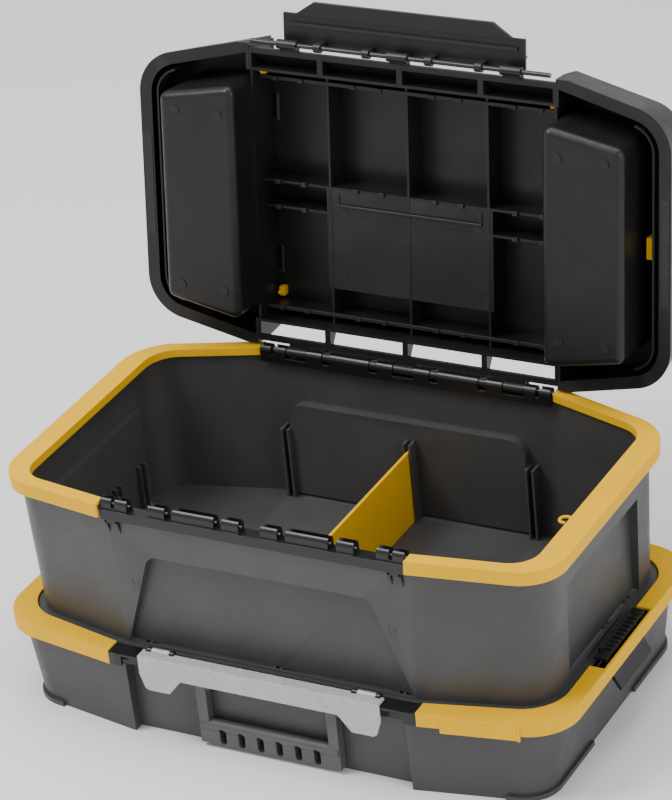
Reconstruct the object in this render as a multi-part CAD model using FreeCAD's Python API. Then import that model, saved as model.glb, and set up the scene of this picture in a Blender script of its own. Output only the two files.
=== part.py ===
# A stacked tool box: a deep tub with a two-way lid, clipped on top of a shallow organizer.
# Frame: X along the length, Y from front (-) to back (+), Z up. The origin is the centre of the base.
# The lid is modelled closed and then turned open about its rear rod, because the object stands open.
import FreeCAD, Part
import math
import os

from FreeCAD import Placement, Rotation, Vector

os.makedirs("parts", exist_ok=True)

# ---- driving dimensions, mm ----
WALL = 2.5
GAP = 0.5                 # free gap between separate mouldings
RUN = 0.05                # radial clearance of a pin in its bore

# plan outlines: half length, half depth in the middle, half depth at the ends,
# half length of the straight middle, radius of the end corners
TRAY_FOOT = (231.0, 144.0, 125.0, 126.0, 28.0)
TRAY_TOP = (241.0, 146.5, 127.5, 129.0, 32.0)
LOWER_RIM = (252.0, 152.0, 131.5, 131.0, 40.0)
TUB_FOOT = (230.0, 131.0, 108.0, 128.0, 30.0)
TUB_TOP = (235.0, 137.5, 113.0, 133.0, 33.0)
UPPER_RIM = (245.0, 143.0, 117.0, 135.0, 40.0)
UPPER_RIM_INSIDE = (224.5, 131.5, 109.5, 133.0, 26.0)
LID_EDGE = (239.0, 135.0, 110.0, 135.0, 38.0)
LID_CROWN = (231.0, 128.0, 103.5, 133.0, 32.0)
SOFT_CORNER = 24.0        # radius where the long sides turn towards the ends

TRAY_H = 65.5             # top of the organizer's walls
DECK_Z = 71.5             # top of the organizer lid's deck, which the tub stands on
RIM1_BOTTOM = 65.5        # lower yellow rims
RIM1_TOP = 78.5
RIM2_BOTTOM = 197.0       # upper yellow rims
RIM2_TOP = 209.0
RIM_SPLIT1 = 137.0        # the lower rims end here, either side of the middle
RIM_SPLIT2 = 135.0        # the upper rims end here
LID_H = 40.0              # height of the lid over the upper rims
LID_GAP = 0.6             # gap between the upper rims and the closed lid
END_DROP = 3.6            # degrees that the upper rims and the lid's edge fall towards each end

# rods, rails and lid latches
ROD_R = 2.0
ROD_Y = 133.5             # the two rods lie at plus and minus this
ROD_Z = 208.0
ROD_HALF = 134.0
LID_OPEN = 98.0           # degrees between the closed lid and the open lid
SLEEVE_X = (-100.0, 0.0, 100.0)
SLEEVE_W = 18.0
CLIP_X = (-72.0, -28.0, 28.0, 72.0)
CLIP_W = 6.0
LID_SETBACK = 23.0        # from a rod to the lid's wall behind it
FLAP_HALF = 108.0         # half width of a lid latch
FLAP_DROP = 35.0          # length of a lid latch below its rod

# front recess of the organizer, with the handle and the clear latch in front of it
RECESS_HALF = 125.0
RECESS_DEPTH = 9.0
HANDLE_HALF = 63.0
HANDLE_Y = -140.5
HANDLE_Z = 57.5
HANDLE_DROP = 53.5
LATCH1_HALF = 107.5
LATCH1_Y = -142.5
LATCH1_Z = 80.4
LATCH1_FRONT = -154.5
LATCH1_PIN_X = 92.0       # middle of each latch knuckle

# side latches between organizer and tub
SIDE_X = 246.6
SIDE_Z = 71.0
SIDE_HALF = 38.0
SLOT_HALF = 47.0

# organizer hinge
HINGE1_Y = 155.0
HINGE1_Z = 67.0
HINGE1_R = 4.0
HINGE1_X = (-75.0, 75.0)

# sunk panels of the tub
PANEL_DEPTH = 5.0
PANEL_TOP_HALF = 98.0
PANEL_FOOT_HALF = 128.0
PANEL_TOP = 164.0
BACK_PANEL_HALF = 107.0
PANEL_CORNER = 12.0       # radius of the panels' top corners
END_PANEL_HALF = 68.0

# lid pockets, handle recess and handle
POCKET_IN = 140.0
POCKET_OUT = 205.0
POCKET_IN_HALF = 99.0
POCKET_OUT_HALF = 86.0
POCKET_DEPTH = 30.0       # below the rim plane
POCKET_ROUND = 5.0        # inner radius of a pocket's edges
WELL_HALF = 73.0
WELL_FRONT = -8.0
WELL_BACK = 74.0
WELL_DEPTH = 27.0


# ---- helpers ----
def box(x0, x1, y0, y1, z0, z1):
    return Part.makeBox(x1 - x0, y1 - y0, z1 - z0, Vector(x0, y0, z0))


def rod_x(x0, x1, y, z, r):
    return Part.makeCylinder(r, x1 - x0, Vector(x0, y, z), Vector(1, 0, 0))


def rod_y(y0, y1, x, z, r):
    return Part.makeCylinder(r, y1 - y0, Vector(x, y0, z), Vector(0, 1, 0))


def rounded_wire(points, radii, z):
    """A closed wire through the points, each corner rounded by an arc."""
    count = len(points)
    starts, mids, ends = [], [], []
    for i in range(count):
        here = Vector(*points[i], z)
        to_here = (here - Vector(*points[i - 1], z)).normalize()
        onward = (Vector(*points[(i + 1) % count], z) - here).normalize()
        turn = to_here.getAngle(onward)
        cut = radii[i] * math.tan(turn / 2)
        inward = (onward - to_here).normalize()
        starts.append(here - to_here * cut)
        ends.append(here + onward * cut)
        mids.append(here + inward * (radii[i] / math.cos(turn / 2) - radii[i]))
    edges = []
    for i in range(count):
        edges.append(Part.LineSegment(ends[i - 1], starts[i]).toShape())
        edges.append(Part.Arc(starts[i], mids[i], ends[i]).toShape())
    return Part.Wire(edges)


def outline_wire(outline, z, grow=0.0):
    """The eight-sided plan outline at height z, grown outwards by an even offset."""
    a, b, c, m, r = outline
    slant = math.atan2(b - c, a - m)
    a2 = a + grow
    b2 = b + grow
    c2 = c + grow * math.tan((math.pi / 2 - slant) / 2)
    m2 = m + grow * math.tan(slant / 2)
    points = [(a2, -c2), (a2, c2), (m2, b2), (-m2, b2), (-a2, c2), (-a2, -c2), (-m2, -b2), (m2, -b2)]
    corner = max(r + grow, 1.0)
    radii = [corner, corner, SOFT_CORNER, SOFT_CORNER] * 2
    return rounded_wire(points, radii, z)


def slab(outline, z0, z1, grow=0.0):
    return Part.Face(outline_wire(outline, z0, grow)).extrude(Vector(0, 0, z1 - z0))


def drafted(outline0, z0, outline1, z1, grow=0.0):
    return Part.makeLoft([outline_wire(outline0, z0, grow), outline_wire(outline1, z1, grow)], True, True)


def ring(outline, z0, z1, outer_grow, inner_grow):
    return slab(outline, z0, z1, outer_grow).cut(slab(outline, z0 - 1, z1 + 1, inner_grow))


def prism_yz(points, x0, x1):
    """A flat-sided profile given as (y, z) points, from x0 to x1."""
    wire = Part.makePolygon([Vector(x0, y, z) for y, z in points + points[:1]])
    return Part.Face(wire).extrude(Vector(x1 - x0, 0, 0))


def prism_xz(points, y0, y1):
    wire = Part.makePolygon([Vector(x, y0, z) for x, z in points + points[:1]])
    return Part.Face(wire).extrude(Vector(0, y1 - y0, 0))


def prism_xy(points, z0, z1):
    wire = Part.makePolygon([Vector(x, y, z0) for x, y in points + points[:1]])
    return Part.Face(wire).extrude(Vector(0, 0, z1 - z0))


def fuse(shapes):
    result = shapes[0]
    if len(shapes) > 1:
        result = result.multiFuse(shapes[1:])
    return result.removeSplitter()


def cut_all(shape, tools):
    return shape.cut(Part.makeCompound(tools)) if len(tools) == 1 else shape.cut(fuse(tools))


def beyond(x):
    """Everything on the +X side of x."""
    return box(x, 400, -400, 400, -50, 500)


def mirror_x(shape):
    return shape.mirror(Vector(0, 0, 0), Vector(1, 0, 0))


def mirror_y(shape):
    return shape.mirror(Vector(0, 0, 0), Vector(0, 1, 0))


def tilted(shape):
    """A shape of the right-hand end, turned down by the fall of the upper rim."""
    result = shape.copy()
    result.rotate(Vector(RIM_SPLIT2, 0, RIM2_TOP), Vector(0, 1, 0), END_DROP)
    return result


def opened(shape):
    """A shape of the closed lid, turned open about the rear rod."""
    turn = Rotation(Vector(-1, 0, 0), LID_OPEN)
    result = shape.copy()
    result.Placement = Placement(Vector(0, 0, 0), turn, Vector(0, ROD_Y, ROD_Z)).multiply(result.Placement)
    return result


def save(name, shape):
    solids = shape.Solids
    if not solids or not all(solid.isValid() and solid.Volume > 1 for solid in solids):
        raise ValueError(name + " has a missing or invalid solid")
    out = solids[0] if len(solids) == 1 else Part.makeCompound(solids)
    out.exportStep("parts/" + name + ".step")


# ---- organizer ----
def recess_cutter(extra):
    """The front recess of the organizer, grown by extra on its inner sides."""
    half = RECESS_HALF + extra
    return box(-half, half, -200, -(TRAY_FOOT[1] - RECESS_DEPTH) + extra, -10, 100)


def organizer_base():
    foot = ring(TRAY_FOOT, 0, 4, 3, -4).cut(box(-200, 200, -300, 300, -1, 5))
    outer = fuse([drafted(TRAY_FOOT, 0, TRAY_TOP, TRAY_H), foot])
    shape = outer.cut(recess_cutter(0))
    hollow = drafted(TRAY_FOOT, 3, TRAY_TOP, TRAY_H + 1, -WALL).cut(recess_cutter(WALL))
    shape = shape.cut(hollow)
    shape = shape.cut(box(-300, 300, -40, 40, -1, 4.01).cut(slab(TRAY_FOOT, -2, 5, 0)))
    rib = box(-226, 226, -1, 1, 2.5, 54)
    pads = []
    for x in HINGE1_X:
        pads.append(prism_yz([(143, 38), (HINGE1_Y + HINGE1_R, 59), (HINGE1_Y + HINGE1_R, HINGE1_Z),
                              (HINGE1_Y, HINGE1_Z), (143, 61)], x - 10, x + 10))
        pads.append(rod_x(x - 10, x + 10, HINGE1_Y, HINGE1_Z, HINGE1_R))
    brackets = []
    face = -(TRAY_FOOT[1] - RECESS_DEPTH)
    for side in (-1, 1):
        x0, x1 = sorted((side * (HANDLE_HALF + GAP), side * (HANDLE_HALF + GAP + 3)))
        brackets.append(box(x0, x1, HANDLE_Y, face + 1, HANDLE_Z - 5, HANDLE_Z + 5))
        brackets.append(rod_x(x0, x1, HANDLE_Y, HANDLE_Z, 5))
        x0, x1 = sorted((side * (HANDLE_HALF - 9 - GAP), side * (HANDLE_HALF - 12 - GAP)))
        brackets.append(box(x0, x1, HANDLE_Y, face + 1, HANDLE_Z - 5, HANDLE_Z + 5))
        brackets.append(rod_x(x0, x1, HANDLE_Y, HANDLE_Z, 5))
    shape = fuse([shape, rib] + pads + brackets)
    bores = [rod_x(x - 30, x + 30, HINGE1_Y, HINGE1_Z, 1.5 + RUN) for x in HINGE1_X]
    bores += [rod_x(x - 20, x + 20, HANDLE_Y, HANDLE_Z, 1.5 + RUN) for x in (-58, 58)]
    return cut_all(shape, bores)


def organizer_dividers():
    plates = []
    for x in (-170, -105, -40, 40, 105, 170):
        plates.append(box(x - 1, x + 1, 2, 160, 3, 54))
        plates.append(box(x - 1, x + 1, -160, -2, 3, 54))
    inside = drafted(TRAY_FOOT, 3, TRAY_TOP, TRAY_H, -WALL - GAP).cut(recess_cutter(WALL + GAP))
    return Part.makeCompound([plate.common(inside) for plate in plates])


def organizer_lid():
    deck = slab(LOWER_RIM, DECK_Z - 3, DECK_Z, -6)
    kerb = ring(LOWER_RIM, DECK_Z - 3, RIM1_TOP - 3, -6, -8.5)
    skirt = ring(LOWER_RIM, RIM1_BOTTOM, DECK_Z, -6, -8.5)
    middle_lip = ring(LOWER_RIM, RIM1_BOTTOM + 1, RIM1_TOP - 1, 0, -WALL)
    middle_top = ring(LOWER_RIM, RIM1_TOP - 3, RIM1_TOP - 1, -0.1, -15)
    middle = fuse([middle_lip, middle_top]).common(box(-RIM_SPLIT1 + 0.3, RIM_SPLIT1 - 0.3, -300, 300, 0, 200))
    shape = fuse([deck, kerb, skirt, middle])
    shape = shape.cut(box(-RECESS_HALF, RECESS_HALF, -200, -149, 0, RIM1_TOP - 3))
    window = SLOT_HALF
    for side in (-1, 1):
        x0, x1 = sorted((side * (TUB_FOOT[0] + 8), side * 300))
        shape = shape.cut(box(x0, x1, -window, window, 40, 100))
    lugs = []
    for side in (-1, 1):
        x0, x1 = sorted((side * (SIDE_X - 4), side * (SIDE_X + 1.9)))
        for y in (-SLOT_HALF + 0.5, SLOT_HALF - 3.5):
            lugs.append(box(x0, x1, y - 0.6, y + 3.6, RIM1_BOTTOM + 3, RIM1_TOP - 4.5))
    for x in HINGE1_X:
        for x0 in (x - 24.5, x + 10.5):
            lugs.append(rod_x(x0, x0 + 14, HINGE1_Y, HINGE1_Z, HINGE1_R))
            lugs.append(box(x0, x0 + 14, HINGE1_Y - 8, HINGE1_Y, HINGE1_Z, HINGE1_Z + HINGE1_R))
    for side in (-1, 1):
        for x in (LATCH1_PIN_X - 12, LATCH1_PIN_X + 8.5):
            x0, x1 = sorted((side * x, side * (x + 3.5)))
            lugs.append(rod_x(x0, x1, LATCH1_Y, LATCH1_Z, 3))
            lugs.append(box(x0, x1, LATCH1_Y - 3, LATCH1_Y + 3, RIM1_TOP - 3, LATCH1_Z))
    shape = fuse([shape] + lugs)
    bores = [rod_x(x - 30, x + 30, HINGE1_Y, HINGE1_Z, 1.5 + RUN) for x in HINGE1_X]
    bores += [rod_x(x - 20, x + 20, LATCH1_Y, LATCH1_Z, 1.5 + RUN) for x in (-LATCH1_PIN_X, LATCH1_PIN_X)]
    bores += [rod_y(-SLOT_HALF - 4, SLOT_HALF + 4, x, SIDE_Z, 1.5 + RUN) for x in (-SIDE_X, SIDE_X)]
    clear_knuckle = [box(x - 10.5, x + 10.5, HINGE1_Y - 12, HINGE1_Y + 6, RIM1_BOTTOM - 1, RIM1_TOP)
                     for x in HINGE1_X]
    return cut_all(shape, bores + clear_knuckle)


def organizer_rim():
    """The right-hand end cap of the organizer lid."""
    skirt = ring(LOWER_RIM, RIM1_BOTTOM, RIM1_TOP, 0, -WALL)
    top = slab(LOWER_RIM, RIM1_TOP - WALL, RIM1_TOP, -0.1).cut(slab(TUB_FOOT, 0, 100, 7))
    inner_face = ring(TUB_FOOT, DECK_Z, RIM1_TOP, 8.5, 7)
    shape = fuse([skirt, top, inner_face]).common(beyond(RIM_SPLIT1))
    slot = box(TUB_FOOT[0] - 2, LOWER_RIM[0] - WALL, -SLOT_HALF + 1, SLOT_HALF - 1, 60, 100)
    return shape.cut(slot)


def side_latch():
    """The right-hand latch: a hook bar above its pin, and a finger lever below it."""
    half = SIDE_HALF
    frame = box(SIDE_X - 1.7, SIDE_X + 1.3, -half, half, RIM1_BOTTOM + 1, RIM1_TOP + 3)
    window = box(SIDE_X - 3, SIDE_X + 3, -half + 9, half - 9, RIM1_TOP - 4, RIM1_TOP + 1)
    shelf = box(TUB_FOOT[0] + 7.4, SIDE_X, -half, half, RIM1_TOP + 1, RIM1_TOP + 3.5)
    bar = box(TUB_FOOT[0] + 7.4, TUB_FOOT[0] + 10.4, -half + 9, half - 9, RIM1_TOP - 1.5, RIM1_TOP + 6)
    barrel = rod_y(-half, half, SIDE_X, SIDE_Z, 2.8)
    lever = prism_xz([(SIDE_X - 1.7, RIM1_BOTTOM + 2), (SIDE_X + 1.3, RIM1_BOTTOM + 2),
                      (SIDE_X + 1.9, RIM1_BOTTOM - 2), (SIDE_X + 9.4, 50.5), (SIDE_X + 7.4, 49.0),
                      (SIDE_X - 0.6, RIM1_BOTTOM - 4)], -30, 30)
    shape = fuse([frame.cut(window), shelf, bar, barrel, lever])
    return shape.cut(rod_y(-half - 1, half + 1, SIDE_X, SIDE_Z, 1.5 + RUN))


def side_latch_pin():
    return rod_y(-SLOT_HALF - 0.1, SLOT_HALF + 0.1, SIDE_X, SIDE_Z, 1.5)


def organizer_front_latch():
    strip_bottom = 64.0
    tab_bottom = 50.5
    front = LATCH1_FRONT
    top = box(-LATCH1_HALF, LATCH1_HALF, front, LATCH1_Y, LATCH1_Z - 1, LATCH1_Z + 1)
    face = box(-LATCH1_HALF, LATCH1_HALF, front, front + 2, strip_bottom, LATCH1_Z + 1)
    shapes = [top, face]
    for side in (-1, 1):
        tab = prism_xz([(side * LATCH1_HALF, strip_bottom + 1), (side * (LATCH1_HALF - 4), tab_bottom + 2),
                        (side * (LATCH1_HALF - 7), tab_bottom), (side * (LATCH1_HALF - 26), tab_bottom),
                        (side * (LATCH1_HALF - 38), strip_bottom + 1)], front, front + 2)
        x0, x1 = sorted((side * (LATCH1_PIN_X - 8), side * (LATCH1_PIN_X + 8)))
        knuckle = rod_x(x0, x1, LATCH1_Y, LATCH1_Z, 2.6)
        catch = box(x0, x1, front + 1, LATCH1_FRONT + 6.7, 54.5, 57.5)
        shapes += [tab, knuckle, catch]
    shape = fuse(shapes)
    cuts = [rod_x(-120, 120, LATCH1_Y, LATCH1_Z, 1.5 + RUN)]
    for side in (-1, 1):
        for x in (LATCH1_PIN_X - 12.5, LATCH1_PIN_X + 8.5):
            x0, x1 = sorted((side * (x - 0.5), side * (x + 4.5)))
            cuts.append(box(x0, x1, LATCH1_Y - 3.6, LATCH1_Y + 5, LATCH1_Z - 4, LATCH1_Z + 4))
    return cut_all(shape, cuts)


def pins_x(half_length, centres, y, z, r=1.5):
    return Part.makeCompound([rod_x(x - half_length, x + half_length, y, z, r) for x in centres])


def carry_handle():
    low = HANDLE_Z - HANDLE_DROP
    y0, y1 = HANDLE_Y - 4.5, HANDLE_Y + 4.5
    grip_top = low + 19
    shapes = [box(-HANDLE_HALF, HANDLE_HALF, y0, y1, low, grip_top)]
    shapes.append(rod_x(-HANDLE_HALF + 1, HANDLE_HALF - 1, HANDLE_Y - 0.8, grip_top - 2.5, 5.2))
    for side in (-1, 1):
        x0, x1 = sorted((side * HANDLE_HALF, side * (HANDLE_HALF - 9)))
        shapes.append(box(x0, x1, y0, y1, low, HANDLE_Z))
        shapes.append(rod_x(x0, x1, HANDLE_Y, HANDLE_Z, 4.5))
    shape = fuse(shapes)
    cuts = [rod_x(-80, 80, HANDLE_Y, HANDLE_Z, 1.5 + RUN)]
    for i in range(6):
        x = (i - 2.5) * 17.0
        slot = box(x - 3, x + 3, y0 - 3, y1 + 3, low + 4, low + 13)
        cuts.append(fuse([slot, rod_y(y0 - 3, y1 + 3, x, low + 4, 3), rod_y(y0 - 3, y1 + 3, x, low + 13, 3)]))
    return cut_all(shape, cuts)


# ---- tub ----
def rounded_panel(half_foot, half_top, foot_z, top_z, corner, y0, y1):
    """An upright trapezoid between y0 and y1, its two top corners rounded."""
    points = [(-half_foot, -foot_z), (half_foot, -foot_z), (half_top, -top_z), (-half_top, -top_z)]
    wire = rounded_wire(points[::-1], [corner, corner, 0.5, 0.5], 0)
    plate = Part.Face(wire).extrude(Vector(0, 0, y1 - y0))
    plate.rotate(Vector(0, 0, 0), Vector(1, 0, 0), -90)
    plate.translate(Vector(0, y0, 0))
    return plate


def front_panel(extra):
    """The sunk trapezoid panel of the tub's front wall, grown inwards by extra."""
    face = -(TUB_FOOT[1] - PANEL_DEPTH) + extra
    return rounded_panel(PANEL_FOOT_HALF + extra, PANEL_TOP_HALF + extra, DECK_Z + 6, PANEL_TOP + extra,
                         PANEL_CORNER + extra, -200, face)


def back_panel(extra):
    """The sunk upright panel of the tub's back wall."""
    face = TUB_FOOT[1] - PANEL_DEPTH - extra
    half = BACK_PANEL_HALF + extra
    panel = rounded_panel(half + 0.5, half, DECK_Z + 6, PANEL_TOP - 3 + extra, PANEL_CORNER + extra, -200, -face)
    return mirror_y(panel)


def side_panel(extra):
    """The sunk panel in the end wall of the tub."""
    x = TUB_FOOT[0] - PANEL_DEPTH - extra
    half = END_PANEL_HALF + extra
    return box(x, 400, -half, half, DECK_Z + 8, PANEL_TOP + extra)


def tub_room(top, extra):
    """The tub's inner space, reaching extra into its walls."""
    room = drafted(TUB_FOOT, DECK_Z + 3 - extra, TUB_TOP, top, -WALL + extra)
    end = side_panel(WALL - extra)
    for sunk in (front_panel(WALL - extra), back_panel(WALL - extra), end, mirror_x(end)):
        room = room.cut(sunk)
    return room


def tub_shell():
    top = RIM2_TOP - WALL - 0.1
    outer = drafted(TUB_FOOT, DECK_Z, TUB_TOP, top)
    for sunk in (front_panel(0), back_panel(0), side_panel(0), mirror_x(side_panel(0))):
        outer = outer.cut(sunk)
    foot = ring(TUB_FOOT, DECK_Z, DECK_Z + 5, 6, -1)
    shape = fuse([outer, foot]).cut(tub_room(top + 1, 0))
    middle = box(-RIM_SPLIT2 + 1, RIM_SPLIT2 - 1, -200, 200, RIM2_TOP - 10, 300)
    end = tilted(box(RIM_SPLIT2 - 15, 400, -300, 300, top, 400))
    shape = cut_all(shape, [middle, end, mirror_x(end)])
    inside = tub_room(150, 0.6)
    for x, reach, high in ((-117, 12, 140), (-111, 12, 140), (1, 17, 148), (7, 17, 148), (110, 12, 140), (116, 12, 140)):
        rib = box(x, x + 2, TUB_FOOT[1] - reach, 140, DECK_Z + 1, high)
        for whole in (rib, mirror_y(rib)):
            shape = shape.fuse(whole.common(inside))
    return shape


def tub_rim():
    """The right-hand yellow rim of the tub."""
    skirt = ring(UPPER_RIM, RIM2_BOTTOM, RIM2_TOP, 0, -WALL)
    top = slab(UPPER_RIM, RIM2_TOP - WALL, RIM2_TOP, -0.1).cut(slab(UPPER_RIM_INSIDE, 0, 300))
    lip = ring(UPPER_RIM_INSIDE, RIM2_TOP - 7, RIM2_TOP, 2, 0)
    return tilted(fuse([skirt, top, lip]).common(beyond(RIM_SPLIT2)))


def hinge_rail():
    """The rear rail. It caps the tub's wall, and its cradles hold the lid's rod from below."""
    half = RIM_SPLIT2 - 1.5
    block = box(-half, half, ROD_Y - 5, ROD_Y + 6.5, ROD_Z - 13.5, ROD_Z - 4.5)
    barrel = rod_x(-half, half, ROD_Y, ROD_Z, 5)
    web = box(-half, half, ROD_Y - 5, ROD_Y + 5, ROD_Z - 5, ROD_Z)
    shape = fuse([block, barrel, web])
    wall_slot = box(-RIM_SPLIT2, RIM_SPLIT2, TUB_TOP[1] - WALL - 1.2, TUB_TOP[1] + 0.3, 150, RIM2_TOP - 9.9)
    inner_lane = box(-RIM_SPLIT2, RIM_SPLIT2, ROD_Y - 6, ROD_Y + 0.3, 150, ROD_Z - 10)
    slot = box(-RIM_SPLIT2, RIM_SPLIT2, ROD_Y - ROD_R - 0.15, ROD_Y + ROD_R + 0.15, ROD_Z, ROD_Z + 20)
    bed = rod_x(-RIM_SPLIT2, RIM_SPLIT2, ROD_Y, ROD_Z, ROD_R + 0.15)
    cuts = [wall_slot, inner_lane, slot, bed]
    for x in SLEEVE_X:
        w = SLEEVE_W / 2 + GAP
        cuts.append(box(x - w, x + w, ROD_Y - 20, ROD_Y + 20, ROD_Z - 4.8, ROD_Z + 20))
    for x in CLIP_X:
        w = CLIP_W / 2 + GAP
        cuts.append(box(x - w, x + w, ROD_Y - 20, ROD_Y + 20, ROD_Z - 4.8, ROD_Z + 20))
    for x in (-122.0, 122.0):
        cuts.append(box(x - 1.5, x + 1.5, ROD_Y - 20, ROD_Y + 20, ROD_Z - 3, ROD_Z + 20))
    return cut_all(shape, cuts)


def tub_divider():
    end = TUB_FOOT[1] - PANEL_DEPTH - WALL - GAP
    low = DECK_Z + 3.2
    top = low + 66
    return prism_yz([(-end, low), (end, low), (end, top), (-end + 22, top), (-end, top - 20)], 3.6, 6.4)


def lid_latch():
    """The rear lid latch, hanging closed: clips round the rod, and a wide flap with a finger grip."""
    y = ROD_Y
    plate = box(-FLAP_HALF, FLAP_HALF, y + 9, y + 11.5, ROD_Z - 24, ROD_Z + 1)
    grip = prism_xz([(-FLAP_HALF + 10, ROD_Z - 23), (FLAP_HALF - 10, ROD_Z - 23),
                     (FLAP_HALF - 28, ROD_Z - FLAP_DROP), (-FLAP_HALF + 28, ROD_Z - FLAP_DROP)],
                    y + 8, y + 11.5)
    hook = box(-FLAP_HALF + 6, FLAP_HALF - 6, y + 7, y + 10, ROD_Z - 17, ROD_Z - 14.5)
    ridge = box(-FLAP_HALF, FLAP_HALF, y + 11, y + 13, ROD_Z - 10, ROD_Z - 8)
    shapes = [plate, grip, hook, ridge]
    for x in CLIP_X:
        shapes.append(rod_x(x - CLIP_W / 2, x + CLIP_W / 2, y, ROD_Z, 4))
        shapes.append(box(x - CLIP_W / 2, x + CLIP_W / 2, y + 2, y + 10, ROD_Z - 3.5, ROD_Z + 1))
    shape = fuse(shapes)
    return shape.cut(rod_x(-150, 150, y, ROD_Z, ROD_R + RUN))


def lid_rod():
    return rod_x(-ROD_HALF, ROD_HALF, ROD_Y, ROD_Z, ROD_R)


# ---- lid, modelled closed ----
LID_Z0 = RIM2_TOP + LID_GAP
LID_Z1 = RIM2_TOP + LID_H
LID_MID = ROD_Y - LID_SETBACK


def pocket_points(extra):
    grow = extra
    return [(POCKET_IN - grow, -POCKET_IN_HALF - grow), (POCKET_OUT + grow, -POCKET_OUT_HALF - grow),
            (POCKET_OUT + grow, POCKET_OUT_HALF + grow), (POCKET_IN - grow, POCKET_IN_HALF + grow)]


def rounded_pocket(extra, z0, z1):
    """A lid pocket as a solid block, its upright and bottom edges rounded."""
    radius = POCKET_ROUND + extra
    wire = rounded_wire(pocket_points(extra), [radius] * 4, z0)
    block = Part.Face(wire).extrude(Vector(0, 0, z1 - z0))
    bottom = [edge for edge in block.Edges if edge.BoundBox.ZMax < z0 + 0.01]
    return block.makeFillet(radius - 1, bottom)


def lid_notch(extra):
    """Where the lid is set back from a rod in its middle length."""
    half = RIM_SPLIT2 + 2.5 + extra
    return box(-half, half, LID_MID - extra, 300, 150, 300)


def lid_shell():
    low = LID_Z0 - 9
    outer = drafted(LID_EDGE, low, LID_CROWN, LID_Z1)
    trim = box(-400, 400, ROD_Y - 3, 400, 100, 400)
    notches = fuse([lid_notch(0), mirror_y(lid_notch(0)), trim, mirror_y(trim)])
    outer = outer.cut(notches)
    hollow = drafted(LID_EDGE, low, LID_CROWN, LID_Z1, -WALL).common(box(-400, 400, -400, 400, 0, LID_Z1 - WALL))
    trim.translate(Vector(0, -WALL, 0))
    hollow = hollow.cut(fuse([lid_notch(WALL), mirror_y(lid_notch(WALL)), trim, mirror_y(trim)]))
    end_under = tilted(box(RIM_SPLIT2, 400, -300, 300, 0, LID_Z0))
    middle_under = box(-RIM_SPLIT2 - 1, RIM_SPLIT2 + 1, -300, 300, 0, LID_Z0)
    shape = outer.cut(hollow)
    shape = cut_all(shape, [middle_under, end_under, mirror_x(end_under)])
    flange = slab(LID_EDGE, LID_Z0, LID_Z0 + 2.5, -1.2).cut(slab(LID_EDGE, 0, 300, -11))
    flange = tilted(flange.common(beyond(RIM_SPLIT2 + 1))).cut(notches)
    parts = [shape, flange, mirror_x(flange)]
    floor = RIM2_TOP - POCKET_DEPTH
    pocket = rounded_pocket(WALL, floor, LID_Z1 - 1)
    parts += [pocket, mirror_x(pocket)]
    well_floor = LID_Z1 - WELL_DEPTH
    parts.append(box(-WELL_HALF - WALL, WELL_HALF + WALL, WELL_FRONT - WALL, WELL_BACK + WALL, well_floor, LID_Z1))
    rib_z = LID_Z0 + 12
    inner_half = RIM_SPLIT2
    for y in (-100.0, -11.0, 11.0, 100.0):
        parts.append(box(-inner_half, inner_half, y - 1, y + 1, rib_z, LID_Z1 - 1))
    for x in (-72.0, 0.0, 72.0):
        parts.append(box(x - 1, x + 1, -LID_MID + 1, LID_MID - 1, rib_z, LID_Z1 - 1))
    for x in (-inner_half - 1.5, inner_half + 1.5):
        parts.append(box(x - 1.25, x + 1.25, -LID_MID, LID_MID, LID_Z0 + 2, LID_Z1 - 1))
    for x in SLEEVE_X:
        x0, x1 = x - SLEEVE_W / 2, x + SLEEVE_W / 2
        arm = box(x0, x1, ROD_Y - 9, ROD_Y - 1, ROD_Z + 2.2, ROD_Z + 4)
        sleeve = fuse([rod_x(x0, x1, ROD_Y, ROD_Z, 4), arm])
        parts += [sleeve, mirror_y(sleeve)]
    bar = box(-RIM_SPLIT2 - 2, RIM_SPLIT2 + 2, ROD_Y - 11, ROD_Y - 6.2, ROD_Z + 1.6, ROD_Z + 5.4)
    parts += [bar, mirror_y(bar)]
    for x in (-RIM_SPLIT2 - 1.5, -72.0, 0.0, 72.0, RIM_SPLIT2 + 1.5):
        half = 1.5 if abs(x) > 100 else 2.5
        gusset = prism_yz([(LID_MID - 1, ROD_Z + 1.6), (ROD_Y - 7, ROD_Z + 1.6), (ROD_Y - 7, ROD_Z + 5.4),
                           (LID_MID - 1, LID_Z0 + 14)], x - half, x + half)
        parts += [gusset, mirror_y(gusset)]
    slope = prism_yz([(-LID_MID + 1, LID_Z0 + 16), (-ROD_Y + 8, ROD_Z + 5), (-ROD_Y + 8, ROD_Z + 3),
                      (-LID_MID + 1, LID_Z0 + 13.5)], -RIM_SPLIT2 - 1, RIM_SPLIT2 + 1)
    parts.append(slope)
    shape = fuse(parts)
    cuts = []
    room = rounded_pocket(0, floor + WALL, LID_Z1 + 5)
    cuts += [room, mirror_x(room)]
    cuts.append(box(-WELL_HALF, WELL_HALF, WELL_FRONT, WELL_BACK, well_floor + WALL, LID_Z1 + 5))
    for y in (-ROD_Y, ROD_Y):
        cuts.append(rod_x(-150, 150, y, ROD_Z, ROD_R + RUN))
    cuts.append(rod_x(-WELL_HALF - 3, WELL_HALF + 3, PIVOT_Y, PIVOT_Z, 1.5 + RUN))
    for x in (-COVER_X, COVER_X):
        cuts.append(rod_y(-86, 86, x, COVER_Z, 1.5 + RUN))
        cuts.append(box(x - 3.2, x + 3.2, -78.5, -55.5, LID_Z1 - 4.5, LID_Z1 + 5))
        cuts.append(box(x - 3.2, x + 3.2, 55.5, 78.5, LID_Z1 - 4.5, LID_Z1 + 5))
    return cut_all(shape, cuts)


# folding handle in the lid's well
PIVOT_Y = 0.0
PIVOT_Z = LID_Z1 - 7.0


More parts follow.
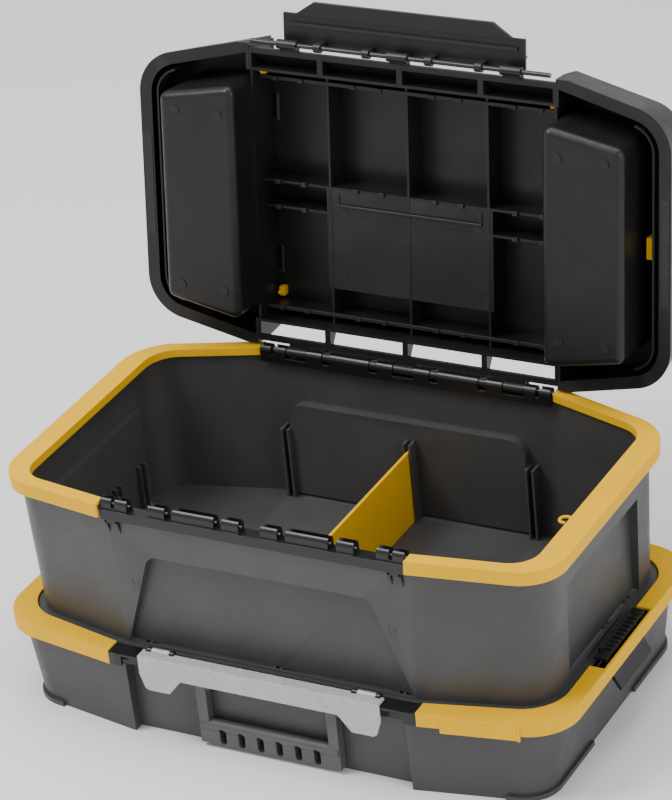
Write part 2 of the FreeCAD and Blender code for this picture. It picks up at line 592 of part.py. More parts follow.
def lid_handle():
    half = WELL_HALF - 1.0
    z0, z1 = PIVOT_Z - 5, PIVOT_Z + 5
    shapes = [box(-half, half, 50, 68, z0 - 4, z1)]
    for side in (-1, 1):
        x0, x1 = sorted((side * half, side * (half - 12)))
        shapes.append(box(x0, x1, PIVOT_Y, 60, z0, z1))
        shapes.append(rod_x(x0, x1, PIVOT_Y, PIVOT_Z, 5))
    shape = fuse(shapes)
    return shape.cut(rod_x(-90, 90, PIVOT_Y, PIVOT_Z, 1.5 + RUN))


def lid_handle_pins():
    return Part.makeCompound([rod_x(s * 67 - 7, s * 67 + 7, PIVOT_Y, PIVOT_Z, 1.5) for s in (-1, 1)])


# covers over the end pockets
COVER_X = 133.0
COVER_Z = LID_Z1 - 0.5


def cover():
    """The right-hand cover, hinged on two knuckles at its inner edge."""
    plate = slab(LID_CROWN, LID_Z1 + 0.4, LID_Z1 + 3.4, -3).common(beyond(COVER_X + 4))
    outer, inner = [Part.Face(rounded_wire(pocket_points(-grow), [POCKET_ROUND] * 4, LID_Z1 - 3))
                    .extrude(Vector(0, 0, 4)) for grow in (1, 3)]
    shapes = [plate, outer.cut(inner)]
    for y0 in (-78.0, 56.0):
        shapes.append(rod_y(y0, y0 + 22, COVER_X, COVER_Z, 2.7))
        shapes.append(box(COVER_X, COVER_X + 6, y0, y0 + 22, LID_Z1 + 0.4, LID_Z1 + 2.2))
    tongue = box(LID_CROWN[0] - 5, LID_CROWN[0] + 4, -9, 9, LID_Z1 - 6, LID_Z1 + 3.4)
    tongue = tongue.cut(box(0, LID_CROWN[0] + 1.8, -20, 20, 0, LID_Z1 + 0.4))
    shapes.append(tongue)
    shape = fuse(shapes).cut(rod_y(-90, 90, COVER_X, COVER_Z, 1.5 + RUN))
    if len(shape.Solids) != 1 or shape.Volume < plate.Volume:
        raise ValueError("the cover lost its plate")
    return shape


def cover_pins():
    return Part.makeCompound([rod_y(y0, y0 + 32, COVER_X, COVER_Z, 1.5) for y0 in (-83.0, 51.0)])


# ---- write every node ----
save("organizer_base", organizer_base())
save("organizer_dividers", organizer_dividers())
save("organizer_lid", organizer_lid())
rim1 = organizer_rim()
save("organizer_rim_right", rim1)
save("organizer_rim_left", mirror_x(rim1))
save("organizer_hinge_pins", pins_x(24.5, HINGE1_X, HINGE1_Y, HINGE1_Z))
save("organizer_front_latch", organizer_front_latch())
save("organizer_latch_pins", pins_x(12, (-LATCH1_PIN_X, LATCH1_PIN_X), LATCH1_Y, LATCH1_Z))
save("carry_handle", carry_handle())
save("carry_handle_pins", pins_x(8, (-58.5, 58.5), HANDLE_Y, HANDLE_Z))
latch = side_latch()
save("side_latch_right", latch)
save("side_latch_left", mirror_x(latch))
pin = side_latch_pin()
save("side_latch_pin_right", pin)
save("side_latch_pin_left", mirror_x(pin))

save("tub_shell", tub_shell())
rim2 = tub_rim()
save("tub_rim_right", rim2)
save("tub_rim_left", mirror_x(rim2))
rail = hinge_rail()
save("rear_hinge_rail", rail)
save("front_hinge_rail", mirror_y(rail))
save("tub_divider", tub_divider())

save("lid_shell", opened(lid_shell()))
flap = lid_latch()
save("rear_latch", flap)
front_open = mirror_y(flap)
front_open.rotate(Vector(0, -ROD_Y, ROD_Z), Vector(-1, 0, 0), 90)
save("front_latch", opened(front_open))
save("rear_rod", opened(lid_rod()))
save("front_rod", opened(mirror_y(lid_rod())))
save("lid_handle", opened(lid_handle()))
save("lid_handle_pins", opened(lid_handle_pins()))
cover_right = cover()
save("cover_right", opened(cover_right))
save("cover_left", opened(mirror_x(cover_right)))
pins_right = cover_pins()
save("cover_pins_right", opened(pins_right))
save("cover_pins_left", opened(mirror_x(pins_right)))
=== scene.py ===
# The looks of the stacked tool box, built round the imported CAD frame. Metres, X right, Y back, Z up.
import bmesh
import bpy
import math

from mathutils import Matrix, Vector


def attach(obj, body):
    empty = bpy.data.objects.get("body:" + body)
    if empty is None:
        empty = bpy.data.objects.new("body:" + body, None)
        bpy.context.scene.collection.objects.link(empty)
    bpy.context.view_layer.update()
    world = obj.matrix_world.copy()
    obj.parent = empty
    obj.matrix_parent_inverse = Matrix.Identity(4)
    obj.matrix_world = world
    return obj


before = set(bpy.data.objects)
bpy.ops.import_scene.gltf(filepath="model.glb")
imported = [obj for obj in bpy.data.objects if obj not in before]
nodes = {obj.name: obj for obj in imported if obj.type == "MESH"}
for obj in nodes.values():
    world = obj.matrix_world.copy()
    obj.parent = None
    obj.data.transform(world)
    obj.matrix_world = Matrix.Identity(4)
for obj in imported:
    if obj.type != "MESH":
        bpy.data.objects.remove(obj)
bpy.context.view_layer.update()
MM = 0.001

# ---- the frame's own dimensions, mm, as in the CAD ----
ROD_Y, ROD_Z = 133.5, 208.0
LID_OPEN = math.radians(98.0)
LID_Z0, LID_Z1 = 209.6, 249.0
END_DROP = math.radians(3.6)
UPPER_RIM_SPLIT = 135.0
UPPER_RIM_TOP = 209.0
LID_EDGE = (239.0, 135.0, 110.0, 135.0, 38.0)
LOWER_RIM = (252.0, 152.0, 131.5, 131.0, 40.0)
SOFT_CORNER = 24.0


# ---- materials ----
def new_material(name):
    material = bpy.data.materials.new(name)
    material.use_nodes = True
    tree = material.node_tree
    shader = tree.nodes["Principled BSDF"]
    return material, tree, shader


def noise(tree, vector, scale, detail=3.0, rough=0.5, distortion=0.0):
    node = tree.nodes.new("ShaderNodeTexNoise")
    node.inputs["Scale"].default_value = scale
    node.inputs["Detail"].default_value = detail
    node.inputs["Roughness"].default_value = rough
    node.inputs["Distortion"].default_value = distortion
    tree.links.new(vector, node.inputs["Vector"])
    return node.outputs["Fac"]


def remap(tree, value, from_low, from_high, to_low, to_high):
    node = tree.nodes.new("ShaderNodeMapRange")
    node.inputs["From Min"].default_value = from_low
    node.inputs["From Max"].default_value = from_high
    node.inputs["To Min"].default_value = to_low
    node.inputs["To Max"].default_value = to_high
    tree.links.new(value, node.inputs["Value"])
    return node.outputs["Result"]


def mix_color(tree, factor, a, b, blend="MIX"):
    node = tree.nodes.new("ShaderNodeMix")
    node.data_type = "RGBA"
    node.blend_type = blend
    tree.links.new(factor, node.inputs["Factor"])
    for socket, value in ((node.inputs[6], a), (node.inputs[7], b)):
        if hasattr(value, "is_linked"):
            tree.links.new(value, socket)
        else:
            socket.default_value = (*value, 1.0)
    return node.outputs[2]


def plastic(name, base, rough, grain=1400.0, grain_depth=0.00004, mottle=0.08, wear=0.05, streak=0.05,
            coat=0.0, shine=0.5):
    """Moulded plastic: spark-eroded grain, uneven gloss, faint flow streaks and paler edges."""
    material, tree, shader = new_material(name)
    place = tree.nodes.new("ShaderNodeTexCoord").outputs["Object"]
    cloud = noise(tree, place, 22.0, 4.0, 0.6)
    dark = [c * (1 - mottle) for c in base]
    pale = [min(1.0, c * (1 + mottle) + 0.002) for c in base]
    color = mix_color(tree, remap(tree, cloud, 0.3, 0.7, 0.0, 1.0), dark, pale)
    stretch = tree.nodes.new("ShaderNodeMapping")
    stretch.inputs["Scale"].default_value = (14.0, 60.0, 160.0)
    tree.links.new(place, stretch.inputs["Vector"])
    flow = noise(tree, stretch.outputs["Vector"], 1.0, 5.0, 0.7, 0.6)
    worn = [min(1.0, c + (1 - c) * 0.22) for c in base]
    color = mix_color(tree, remap(tree, flow, 0.6, 0.8, 0.0, streak), color, worn)
    edge = tree.nodes.new("ShaderNodeNewGeometry").outputs["Pointiness"]
    color = mix_color(tree, remap(tree, edge, 0.52, 0.6, 0.0, wear), color, worn)
    tree.links.new(color, shader.inputs["Base Color"])
    gloss = noise(tree, place, 70.0, 3.0, 0.6)
    tree.links.new(remap(tree, gloss, 0.25, 0.75, rough - 0.05, rough + 0.07), shader.inputs["Roughness"])
    fine = noise(tree, place, grain, 2.0, 0.5)
    bump = tree.nodes.new("ShaderNodeBump")
    bump.inputs["Strength"].default_value = 0.6
    bump.inputs["Distance"].default_value = grain_depth
    tree.links.new(fine, bump.inputs["Height"])
    wave = tree.nodes.new("ShaderNodeBump")
    wave.inputs["Strength"].default_value = 0.35
    wave.inputs["Distance"].default_value = 0.0006
    tree.links.new(noise(tree, place, 18.0, 2.0, 0.5), wave.inputs["Height"])
    tree.links.new(wave.outputs["Normal"], bump.inputs["Normal"])
    tree.links.new(bump.outputs["Normal"], shader.inputs["Normal"])
    shader.inputs["Coat Weight"].default_value = coat
    shader.inputs["Specular IOR Level"].default_value = shine
    shader.inputs["Coat Roughness"].default_value = 0.25
    return material


def clear_plastic(name):
    """Frosted translucent plastic with milky clouding."""
    material, tree, shader = new_material(name)
    place = tree.nodes.new("ShaderNodeTexCoord").outputs["Object"]
    cloud = noise(tree, place, 40.0, 4.0, 0.6)
    color = mix_color(tree, remap(tree, cloud, 0.3, 0.7, 0.0, 1.0), (0.84, 0.85, 0.86), (0.94, 0.95, 0.96))
    tree.links.new(color, shader.inputs["Base Color"])
    shader.inputs["Transmission Weight"].default_value = 0.6
    shader.inputs["IOR"].default_value = 1.42
    tree.links.new(remap(tree, noise(tree, place, 90.0), 0.3, 0.7, 0.2, 0.3), shader.inputs["Roughness"])
    bump = tree.nodes.new("ShaderNodeBump")
    bump.inputs["Strength"].default_value = 0.4
    bump.inputs["Distance"].default_value = 0.00006
    tree.links.new(noise(tree, place, 900.0), bump.inputs["Height"])
    tree.links.new(bump.outputs["Normal"], shader.inputs["Normal"])
    return material


def drawn_steel(name):
    material, tree, shader = new_material(name)
    place = tree.nodes.new("ShaderNodeTexCoord").outputs["Object"]
    stretch = tree.nodes.new("ShaderNodeMapping")
    stretch.inputs["Scale"].default_value = (20.0, 2500.0, 2500.0)
    tree.links.new(place, stretch.inputs["Vector"])
    lines = noise(tree, stretch.outputs["Vector"], 1.0, 3.0, 0.6)
    color = mix_color(tree, remap(tree, lines, 0.3, 0.7, 0.0, 1.0), (0.5, 0.5, 0.51), (0.74, 0.74, 0.75))
    tree.links.new(color, shader.inputs["Base Color"])
    shader.inputs["Metallic"].default_value = 1.0
    tree.links.new(remap(tree, lines, 0.3, 0.7, 0.2, 0.36), shader.inputs["Roughness"])
    return material


DARK = plastic("dark_grey_plastic_grained", (0.050, 0.0505, 0.052), 0.42, grain=1100.0, grain_depth=0.00007,
               shine=0.45)
BLACK = plastic("black_plastic_satin", (0.007, 0.0071, 0.0074), 0.30, grain=1500.0, grain_depth=0.00003,
                coat=0.1, shine=0.4)
LID = plastic("black_plastic_lid", (0.009, 0.0091, 0.0095), 0.36, grain=1500.0, grain_depth=0.00003,
              coat=0.05, shine=0.35)
GREY = plastic("grey_plastic_handle", (0.075, 0.076, 0.079), 0.48, grain=1000.0, grain_depth=0.00008)
YELLOW = plastic("yellow_plastic_satin", (0.86, 0.47, 0.0), 0.55, grain=1200.0, grain_depth=0.00004,
                 mottle=0.04, wear=0.02, streak=0.0, shine=0.12)
CLEAR = clear_plastic("clear_plastic_frosted")
STEEL = drawn_steel("drawn_steel")

FINISH = {
    "organizer_base": DARK, "organizer_dividers": BLACK, "organizer_lid": BLACK,
    "organizer_rim_left": YELLOW, "organizer_rim_right": YELLOW, "organizer_front_latch": CLEAR,
    "carry_handle": GREY, "side_latch_left": BLACK, "side_latch_right": BLACK,
    "tub_shell": DARK, "tub_rim_left": YELLOW, "tub_rim_right": YELLOW,
    "front_hinge_rail": BLACK, "rear_hinge_rail": BLACK, "tub_divider": YELLOW,
    "lid_shell": LID, "front_latch": LID, "rear_latch": LID, "lid_handle": BLACK,
    "cover_left": LID, "cover_right": LID,
}


def round_edges(obj, width, angle=35.0, segments=2):
    """Welds the mesh and rounds its sharp edges, then spreads the normals evenly."""
    weld = obj.modifiers.new("weld", "WELD")
    weld.merge_threshold = 0.00001
    bevel = obj.modifiers.new("soft_edges", "BEVEL")
    bevel.width = width
    bevel.segments = segments
    bevel.limit_method = "ANGLE"
    bevel.angle_limit = math.radians(angle)
    bevel.use_clamp_overlap = True
    bevel.harden_normals = False
    normal = obj.modifiers.new("even_normals", "WEIGHTED_NORMAL")
    normal.keep_sharp = False
    normal.weight = 60


EDGE_ROUND_M = 0.0006
for name, obj in nodes.items():
    finish = FINISH.get(name, STEEL)
    obj.data.materials.clear()
    obj.data.materials.append(finish)
    if finish is not STEEL:
        round_edges(obj, EDGE_ROUND_M)


# ---- mesh helpers: every shape is given in millimetres ----
def corner_arc(points, radii, steps=8):
    """The closed outline through the points with each corner rounded."""
    out = []
    count = len(points)
    for i in range(count):
        here = Vector(points[i])
        back = (Vector(points[i - 1]) - here).normalized()
        onward = (Vector(points[(i + 1) % count]) - here).normalized()
        half = math.acos(max(-1.0, min(1.0, back.dot(onward)))) / 2
        reach = radii[i] / math.tan(half)
        middle = here + (back + onward).normalized() * (radii[i] / math.sin(half))
        start = here + back * reach - middle
        end = here + onward * reach - middle
        sweep = start.angle_signed(end)
        for k in range(steps + 1):
            angle = sweep * k / steps
            out.append(middle + Matrix.Rotation(-angle, 2) @ start)
    return out


def plan_outline(outline, grow=0.0):
    """The eight-sided plan outline, grown outwards by an even offset."""
    a, b, c, m, r = outline
    slant = math.atan2(b - c, a - m)
    a2, b2 = a + grow, b + grow
    c2 = c + grow * math.tan((math.pi / 2 - slant) / 2)
    m2 = m + grow * math.tan(slant / 2)
    points = [(a2, -c2), (a2, c2), (m2, b2), (-m2, b2), (-a2, c2), (-a2, -c2), (-m2, -b2), (m2, -b2)]
    corner = max(r + grow, 1.0)
    return corner_arc(points, [corner, corner, SOFT_CORNER, SOFT_CORNER] * 2)


def make_piece(name, verts, faces, material, body, slot_name, place=None, bevel=0.4):
    """A mesh piece from points in millimetres, moved by place, riding on a body."""
    mesh = bpy.data.meshes.new(name)
    mesh.from_pydata([tuple(Vector(v) * MM) for v in verts], [], faces)
    if place is not None:
        mesh.transform(place)
    cleaner = bmesh.new()
    cleaner.from_mesh(mesh)
    bmesh.ops.recalc_face_normals(cleaner, faces=cleaner.faces)
    cleaner.to_mesh(mesh)
    cleaner.free()
    mesh.materials.append(material)
    obj = bpy.data.objects.new(name, mesh)
    bpy.context.scene.collection.objects.link(obj)
    if bevel:
        soften = obj.modifiers.new("soft_edges", "BEVEL")
        soften.width = bevel * MM
        soften.segments = 2
        soften.limit_method = "ANGLE"
        soften.angle_limit = math.radians(40)
        obj.modifiers.new("even_normals", "WEIGHTED_NORMAL")
    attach(obj, body)
    return obj


def block(x0, x1, y0, y1, z0, z1):
    """A plain box between two corners."""
    verts = [(x, y, z) for x in (x0, x1) for y in (y0, y1) for z in (z0, z1)]
    faces = [(0, 1, 3, 2), (4, 6, 7, 5), (0, 4, 5, 1), (2, 3, 7, 6), (0, 2, 6, 4), (1, 5, 7, 3)]
    return verts, faces


def prism(points, axis, low, high):
    """A closed outline pushed along an axis (0, 1 or 2) from low to high."""
    def at(point, value):
        coordinates = list(point)
        coordinates.insert(axis, value)
        return tuple(coordinates)
    count = len(points)
    verts = [at(p, low) for p in points] + [at(p, high) for p in points]
    faces = [tuple(range(count)), tuple(range(2 * count - 1, count - 1, -1))]
    faces += [(i, (i + 1) % count, (i + 1) % count + count, i + count) for i in range(count)]
    return verts, faces


def disc(x, y, z, radius, axis, thick, steps=28):
    """A flat round boss with its axis along X, Y or Z, centred on the point."""
    ring = [(radius * math.cos(2 * math.pi * k / steps), radius * math.sin(2 * math.pi * k / steps))
            for k in range(steps)]
    verts, faces = prism(ring, axis, -thick / 2, thick / 2)
    return [(vx + x, vy + y, vz + z) for vx, vy, vz in verts], faces


def join(shapes):
    """Several shapes as one list of points and one of faces."""
    verts, faces = [], []
    for v, f in shapes:
        faces += [tuple(i + len(verts) for i in face) for face in f]
        verts += v
    return verts, faces


def on_side(side, near, far):
    """Two distances from the middle, taken to one side, in rising order."""
    return sorted((side * near, side * far))


def end_indices(outline, side, start_x):
    """The indices of an outline's points past start_x on one side, in order round that end."""
    kept = [i for i, point in enumerate(outline) if side * point[0] > start_x]
    gap = next((k for k in range(1, len(kept)) if kept[k] - kept[k - 1] > 1), 0)
    return kept[gap:] + kept[:gap]


def wall_along(path, inner, outer, z0, z1):
    """An open wall whose plan follows two matching point lists, with closed ends."""
    count = len(path)
    verts = [(outer[i][0], outer[i][1], z0) for i in path] + [(outer[i][0], outer[i][1], z1) for i in path]
    verts += [(inner[i][0], inner[i][1], z0) for i in path] + [(inner[i][0], inner[i][1], z1) for i in path]
    faces = []
    for i in range(count - 1):
        a, b = i, i + 1
        faces.append((a, b, b + count, a + count))
        faces.append((b + 2 * count, a + 2 * count, a + 3 * count, b + 3 * count))
        faces.append((a + count, b + count, b + 3 * count, a + 3 * count))
        faces.append((b, a, a + 2 * count, b + 2 * count))
    last = count - 1
    faces.append((0, count, 3 * count, 2 * count))
    faces.append((last, last + 2 * count, last + 3 * count, last + count))
    return verts, faces


def tube(name, points, radius, material, body):
    """A round bar through the points, riding on a body."""
    curve = bpy.data.curves.new(name, "CURVE")
    curve.dimensions = "3D"
    curve.bevel_depth = radius * MM
    curve.bevel_resolution = 4
    curve.use_fill_caps = True
    spline = curve.splines.new("POLY")
    spline.points.add(len(points) - 1)
    for target, point in zip(spline.points, points):
        target.co = (*(Vector(point) * MM), 1.0)
    curve.materials.append(material)
    obj = bpy.data.objects.new(name, curve)
    bpy.context.scene.collection.objects.link(obj)
    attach(obj, body)
    return obj


REAR_ROD = Vector((0, ROD_Y, ROD_Z)) * MM
OPEN_LID = (Matrix.Translation(REAR_ROD) @ Matrix.Rotation(-LID_OPEN, 4, "X") @ Matrix.Translation(-REAR_ROD))


def end_tilt(side):
    """The fall of the rims and of the lid's edge towards one end."""
    pivot = Vector((side * UPPER_RIM_SPLIT, 0, UPPER_RIM_TOP)) * MM
    return Matrix.Translation(pivot) @ Matrix.Rotation(side * END_DROP, 4, "Y") @ Matrix.Translation(-pivot)


# ---- lid: inner lips, edge pads, catches, hinge ends and mould marks ----
LIP_INSETS = (15.5, 17.3)
LIP_START_X = 139.0
LIP_LOW, LIP_HIGH = LID_Z0 + 0.6, LID_Z0 + 16
EDGE_PAD_X, EDGE_PAD_HALF_LENGTH = (229.5, 237.0), 44.0
CATCH_X, CATCH_HALF_WIDTH = (214.0, 219.5), 9.0
CATCH_NIB_X, CATCH_NIB_HALF_WIDTH = (212.5, 214.5), 6.0
HINGE_END_X, HINGE_END_HALF_WIDTH = (128.0, 133.0), 4.0
HINGE_NIB_X, HINGE_NIB_HALF_WIDTH = (129.5, 132.0), 1.2
HINGE_ENDS = ((-106.5, LID_Z0 + 6, "front"), (93.0, LID_Z1 - 14, "rear"))
MARK_RADIUS, MARK_THICK = 4.2, 0.5
POCKET_MARK_X, POCKET_MARK_Y, POCKET_MARK_Z = (152.0, 192.0), (-76.0, 76.0), LID_Z0 - 31.1


def mould_marks(columns, rows, z):
    """Flat round marks at every crossing of the columns and rows."""
    return join([disc(x, y, z, MARK_RADIUS, 2, MARK_THICK) for x in columns for y in rows])


lip_outer, lip_inner = [plan_outline(LID_EDGE, -inset) for inset in LIP_INSETS]
for side, label in ((1, "right"), (-1, "left")):
    tilted = OPEN_LID @ end_tilt(side)
    lip = wall_along(end_indices(lip_outer, side, LIP_START_X), lip_inner, lip_outer, LIP_LOW, LIP_HIGH)
    make_piece("lid_lip_" + label, *lip, LID, "lid", "black_plastic", tilted, bevel=0.3)
    pad = block(*on_side(side, *EDGE_PAD_X), -EDGE_PAD_HALF_LENGTH, EDGE_PAD_HALF_LENGTH,
                LID_Z0 - 0.35, LID_Z0 + 1.0)
    make_piece("lid_edge_pad_" + label, *pad, BLACK, "lid", "black_plastic", tilted, bevel=0.15)
    catch = join([block(*on_side(side, *CATCH_X), -CATCH_HALF_WIDTH, CATCH_HALF_WIDTH,
                        LID_Z0 + 2, LID_Z0 + 22),
                  block(*on_side(side, *CATCH_NIB_X), -CATCH_NIB_HALF_WIDTH, CATCH_NIB_HALF_WIDTH,
                        LID_Z0 + 6, LID_Z0 + 18)])
    make_piece("cover_catch_" + label, *catch, YELLOW, "lid", "yellow_plastic", OPEN_LID, bevel=0.5)
    for y, depth, end in HINGE_ENDS:
        bit = join([block(*on_side(side, *HINGE_END_X), y - HINGE_END_HALF_WIDTH, y + HINGE_END_HALF_WIDTH,
                          depth + 4, depth + 11),
                    block(*on_side(side, *HINGE_NIB_X), y - HINGE_NIB_HALF_WIDTH, y + HINGE_NIB_HALF_WIDTH,
                          depth, depth + 5)])
        make_piece("cover_hinge_end_%s_%s" % (label, end), *bit, YELLOW, "lid", "yellow_plastic", OPEN_LID,
                   bevel=0.5)
    marks = mould_marks([side * x for x in POCKET_MARK_X], POCKET_MARK_Y, POCKET_MARK_Z)
    make_piece("pocket_marks_" + label, *marks, LID, "lid", "black_plastic", OPEN_LID, bevel=0.1)

# ---- lid: the handle well's marks and ledge, a bar with two short returns ----
WELL_FLOOR = LID_Z1 - 27.0
LEDGE_END_X, LEDGE_RETURN_X = 66.0, 63.6
LEDGE_TOP = WELL_FLOOR + 1
marks = mould_marks((-62, 62), (8, 64), WELL_FLOOR - 0.1)
make_piece("well_marks", *marks, LID, "lid", "black_plastic", OPEN_LID, bevel=0.1)
ledge = join([block(-LEDGE_END_X, LEDGE_END_X, 2.0, 4.2, WELL_FLOOR - 2.2, LEDGE_TOP),
              block(-LEDGE_END_X, -LEDGE_RETURN_X, -6.5, 4, WELL_FLOOR - 1.2, LEDGE_TOP),
              block(LEDGE_RETURN_X, LEDGE_END_X, -6.5, 4, WELL_FLOOR - 1.2, LEDGE_TOP)])
make_piece("well_ledge", *ledge, LID, "lid", "black_plastic", OPEN_LID, bevel=0.5)

# ---- lid: pegs and beads on the ribs, none where the handle well is ----
PEG_COLUMNS = (-120.0, -96.0, -48.0, -24.0, 24.0, 48.0, 96.0, 120.0)
PEG_ROWS = (-100.0, -11.0, 11.0, 100.0)
PEG_HALF_X, PEG_HALF_Y = 2.4, 1.9
WELL_ROW, WELL_HALF_WIDTH = 11.0, 70.0
BEAD_ROWS, BEAD_END_X, BEAD_HALF_Y = (-100.0, 100.0), 134.0, 1.6
pegs = []
for y in PEG_ROWS:
    for x in PEG_COLUMNS:
        if y == WELL_ROW and abs(x) < WELL_HALF_WIDTH:
            continue
        pegs.append(block(x - PEG_HALF_X, x + PEG_HALF_X, y - PEG_HALF_Y, y + PEG_HALF_Y,
                          LID_Z0 + 9.6, LID_Z0 + 12.6))
make_piece("rib_pegs", *join(pegs), LID, "lid", "black_plastic", OPEN_LID, bevel=0.3)
beads = [block(-BEAD_END_X, BEAD_END_X, y - BEAD_HALF_Y, y + BEAD_HALF_Y, LID_Z0 + 11.2, LID_Z0 + 12.4)
         for y in BEAD_ROWS]
make_piece("rib_beads", *join(beads), LID, "lid", "black_plastic", OPEN_LID, bevel=0.3)

# ---- rods: dark, with bright ends ----
ROD_END_X, ROD_END_RADIUS, ROD_END_THICK = 133.9, 1.7, 0.6
for node in ("front_rod", "rear_rod"):
    nodes[node].data.materials.clear()
    nodes[node].data.materials.append(BLACK)
for label, y, body, place in (("front", -ROD_Y, "lid", OPEN_LID), ("rear", ROD_Y, "tub", None)):
    ends = [disc(x, y, ROD_Z, ROD_END_RADIUS, 0, ROD_END_THICK) for x in (-ROD_END_X, ROD_END_X)]
    make_piece(label + "_rod_ends", *join(ends), STEEL, body, "steel", place, bevel=0.15)

# ---- tub: rail brackets, each a pair of webs under a cross bar ----
BRACKET_WEBS_X, BRACKET_WEB_THICK = (118.5, 128.0), 2.4
BRACKET_NEAR_Y, BRACKET_FAR_Y, BRACKET_BAR_Y = ROD_Y + 1.6, ROD_Y + 6.4, ROD_Y + 5.0
BRACKET_TOP = 196.0
for sign, label in ((-1, "front"), (1, "rear")):
    web = [(sign * BRACKET_NEAR_Y, 178.0), (sign * BRACKET_NEAR_Y, BRACKET_TOP),
           (sign * BRACKET_FAR_Y, BRACKET_TOP), (sign * BRACKET_FAR_Y, 191.0)]
    brackets = []
    for side in (-1, 1):
        for x in BRACKET_WEBS_X:
            brackets.append(prism(web, 0, *on_side(side, x, x + BRACKET_WEB_THICK)))
        bar_x = on_side(side, BRACKET_WEBS_X[0], BRACKET_WEBS_X[1] + BRACKET_WEB_THICK)
        brackets.append(block(*bar_x, *on_side(sign, BRACKET_BAR_Y, BRACKET_FAR_Y), 192.0, 197.0))
    make_piece("rail_brackets_" + label, *join(brackets), BLACK, "tub", "black_plastic", None, bevel=0.4)

# ---- tub: rim hook, rim notch and end-wall ribs ----
HOOK_X, HOOK_Y, HOOK_Z = 221.5, -38.0, UPPER_RIM_TOP - 6.6
HOOK_RADIUS, HOOK_BAR_RADIUS = 4.6, 1.3
HOOK_ROOT = (225.0, -31.0, HOOK_Z)
WALL_RIB_X, WALL_RIB_THICK, WALL_RIB_Z = (217.5, 223.2), 2.0, (75.0, 121.0)
hook = [(HOOK_X + HOOK_RADIUS * math.cos(t), HOOK_Y + HOOK_RADIUS * math.sin(t), HOOK_Z)
        for t in [math.radians(a) for a in range(20, 291, 15)]]
tube("rim_hook", [HOOK_ROOT] + hook, HOOK_BAR_RADIUS, YELLOW, "tub")
notch = block(222.9, 224.3, -70, -58, UPPER_RIM_TOP - 12.5, UPPER_RIM_TOP - 8.4)
make_piece("rim_notch", *notch, BLACK, "tub", "black_plastic", None, bevel=0.3)
wall_ribs = [block(*on_side(side, *WALL_RIB_X), y, y + WALL_RIB_THICK, *WALL_RIB_Z)
             for side in (-1, 1) for y in (12.0, 20.0, 52.0, 60.0)]
make_piece("end_wall_ribs", *join(wall_ribs), DARK, "tub", "dark_grey_plastic", None, bevel=0.5)

# ---- organizer: raised tab on the front right rim, in three strips ----
TAB_ALONG_RIM, TAB_SUNK = 56.0, 0.8
TAB_STRIPS = ((-31, 31, 1.1, 62.0, 76.5), (-38, -31, 0.4, 65.8, 77.6), (31, 33, 1.7, 61.5, 77.0))
rim_x, rim_y, rim_corner_y, rim_corner_x, _ = LOWER_RIM
along = Vector((rim_x - rim_corner_x, rim_y - rim_corner_y, 0)).normalized()
outwards = Vector((along.y, -along.x, 0))
centre = Vector((rim_corner_x, -rim_y, 0)) + along * TAB_ALONG_RIM
tab = []
for start, stop, proud, low, high in TAB_STRIPS:
    corners = [centre + along * start - outwards * TAB_SUNK, centre + along * stop - outwards * TAB_SUNK,
               centre + along * stop + outwards * proud, centre + along * start + outwards * proud]
    tab.append(prism([(p.x, p.y) for p in corners], 2, low, high))
make_piece("front_rim_tab", *join(tab), YELLOW, "organizer_lid", "yellow_plastic", None, bevel=0.5)

# ---- organizer: what shows through the front latch, and ribs on the side latches ----
LATCH_FRONT = -154.5
WINDOW_X, WINDOW_Y = (84.0, 99.0), (LATCH_FRONT + 2.05, LATCH_FRONT + 2.4)
windows, window_edges = [], []
for side in (-1, 1):
    left, right = on_side(side, *WINDOW_X)
    windows.append(block(left, right, *WINDOW_Y, 60.0, 75.0))
    window_edges.append(block(left, right, *WINDOW_Y, 75.4, 76.4))
    window_edges.append(block(left + 2, right - 2, *WINDOW_Y, 58.0, 63.0))
make_piece("latch_windows", *join(windows), GREY, "organizer_front_latch", "dark_grey_plastic", None,
           bevel=0.1)
make_piece("latch_window_edges", *join(window_edges), CLEAR, "organizer_front_latch", "clear_plastic", None,
           bevel=0.15)

SIDE_RIB_COUNT, SIDE_RIB_FIRST_Y, SIDE_RIB_STEP = 9, -24, 6.0
SIDE_RIB_X, SIDE_RIB_Z = (238.6, 247.6), (81.6, 82.9)
for side, label in ((1, "right"), (-1, "left")):
    places = [SIDE_RIB_FIRST_Y + k * SIDE_RIB_STEP for k in range(SIDE_RIB_COUNT)]
    ribs = [block(*on_side(side, *SIDE_RIB_X), y - 1, y + 1, *SIDE_RIB_Z) for y in places]
    make_piece("side_latch_ribs_" + label, *join(ribs), BLACK, "side_latch_" + label, "black_plastic", None,
               bevel=0.3)

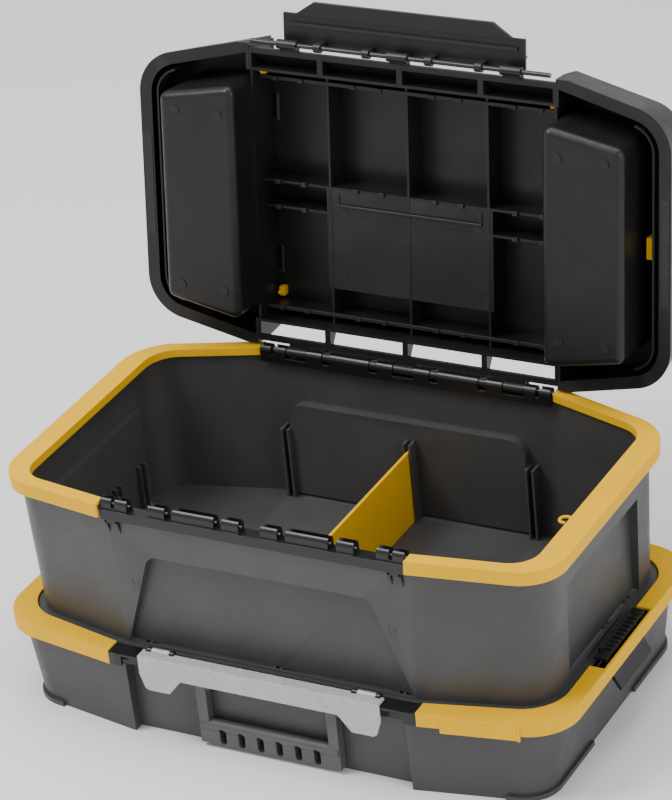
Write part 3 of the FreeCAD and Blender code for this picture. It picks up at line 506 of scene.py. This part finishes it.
# ---- camera, as the photograph stands to the object ----
CAMERA_AT = Vector((1.30607, -2.24118, 1.64473))
YAW = math.radians(30.055)
PITCH = math.radians(28.282)
ROLL = math.radians(-5.989)
FOCAL_PX = 3721.1
IMAGE_HEIGHT_PX = 800.0
camera_data = bpy.data.cameras.new("camera")
camera = bpy.data.objects.new("camera", camera_data)
bpy.context.scene.collection.objects.link(camera)
ahead = Vector((-math.sin(YAW) * math.cos(PITCH), math.cos(YAW) * math.cos(PITCH), -math.sin(PITCH)))
right = ahead.cross(Vector((0, 0, 1))).normalized()
up = right.cross(ahead)
right_rolled = right * math.cos(ROLL) + up * math.sin(ROLL)
up_rolled = -right * math.sin(ROLL) + up * math.cos(ROLL)
turn = Matrix((right_rolled, up_rolled, -ahead)).transposed().to_4x4()
camera.matrix_world = Matrix.Translation(CAMERA_AT) @ turn
camera_data.sensor_width = 36.0
camera_data.lens = FOCAL_PX * camera_data.sensor_width / IMAGE_HEIGHT_PX
camera_data.clip_end = 50.0
bpy.context.scene.camera = camera

# ---- floor and light ----
floor_mesh = bpy.data.meshes.new("floor")
floor_mesh.from_pydata([(-6, -6, 0), (6, -6, 0), (6, 6, 0), (-6, 6, 0)], [], [(0, 1, 2, 3)])
floor = bpy.data.objects.new("floor", floor_mesh)
floor.location.z = -0.0002
bpy.context.scene.collection.objects.link(floor)
floor_material, _, floor_shader = new_material("pale_floor")
floor_shader.inputs["Base Color"].default_value = (0.92, 0.92, 0.92, 1)
floor_shader.inputs["Roughness"].default_value = 0.9
floor_mesh.materials.append(floor_material)

world = bpy.data.worlds.new("studio")
world.use_nodes = True
world.node_tree.nodes["Background"].inputs["Color"].default_value = (1.0, 1.0, 1.0, 1)
world.node_tree.nodes["Background"].inputs["Strength"].default_value = 0.72
bpy.context.scene.world = world


def area_light(name, place, target, size, power):
    data = bpy.data.lights.new(name, "AREA")
    data.shape = "RECTANGLE"
    data.size, data.size_y = size
    data.energy = power
    light = bpy.data.objects.new(name, data)
    light.location = place
    light.rotation_euler = (Vector(target) - Vector(place)).to_track_quat("-Z", "Y").to_euler()
    bpy.context.scene.collection.objects.link(light)


area_light("key", (-1.2, -0.9, 2.4), (0, 0, 0.15), (1.0, 1.0), 46)
area_light("fill", (2.0, -0.6, 1.2), (0, 0, 0.2), (1.2, 1.6), 14)
area_light("top", (0.0, 0.3, 2.4), (0, 0, 0.2), (1.6, 1.0), 22)
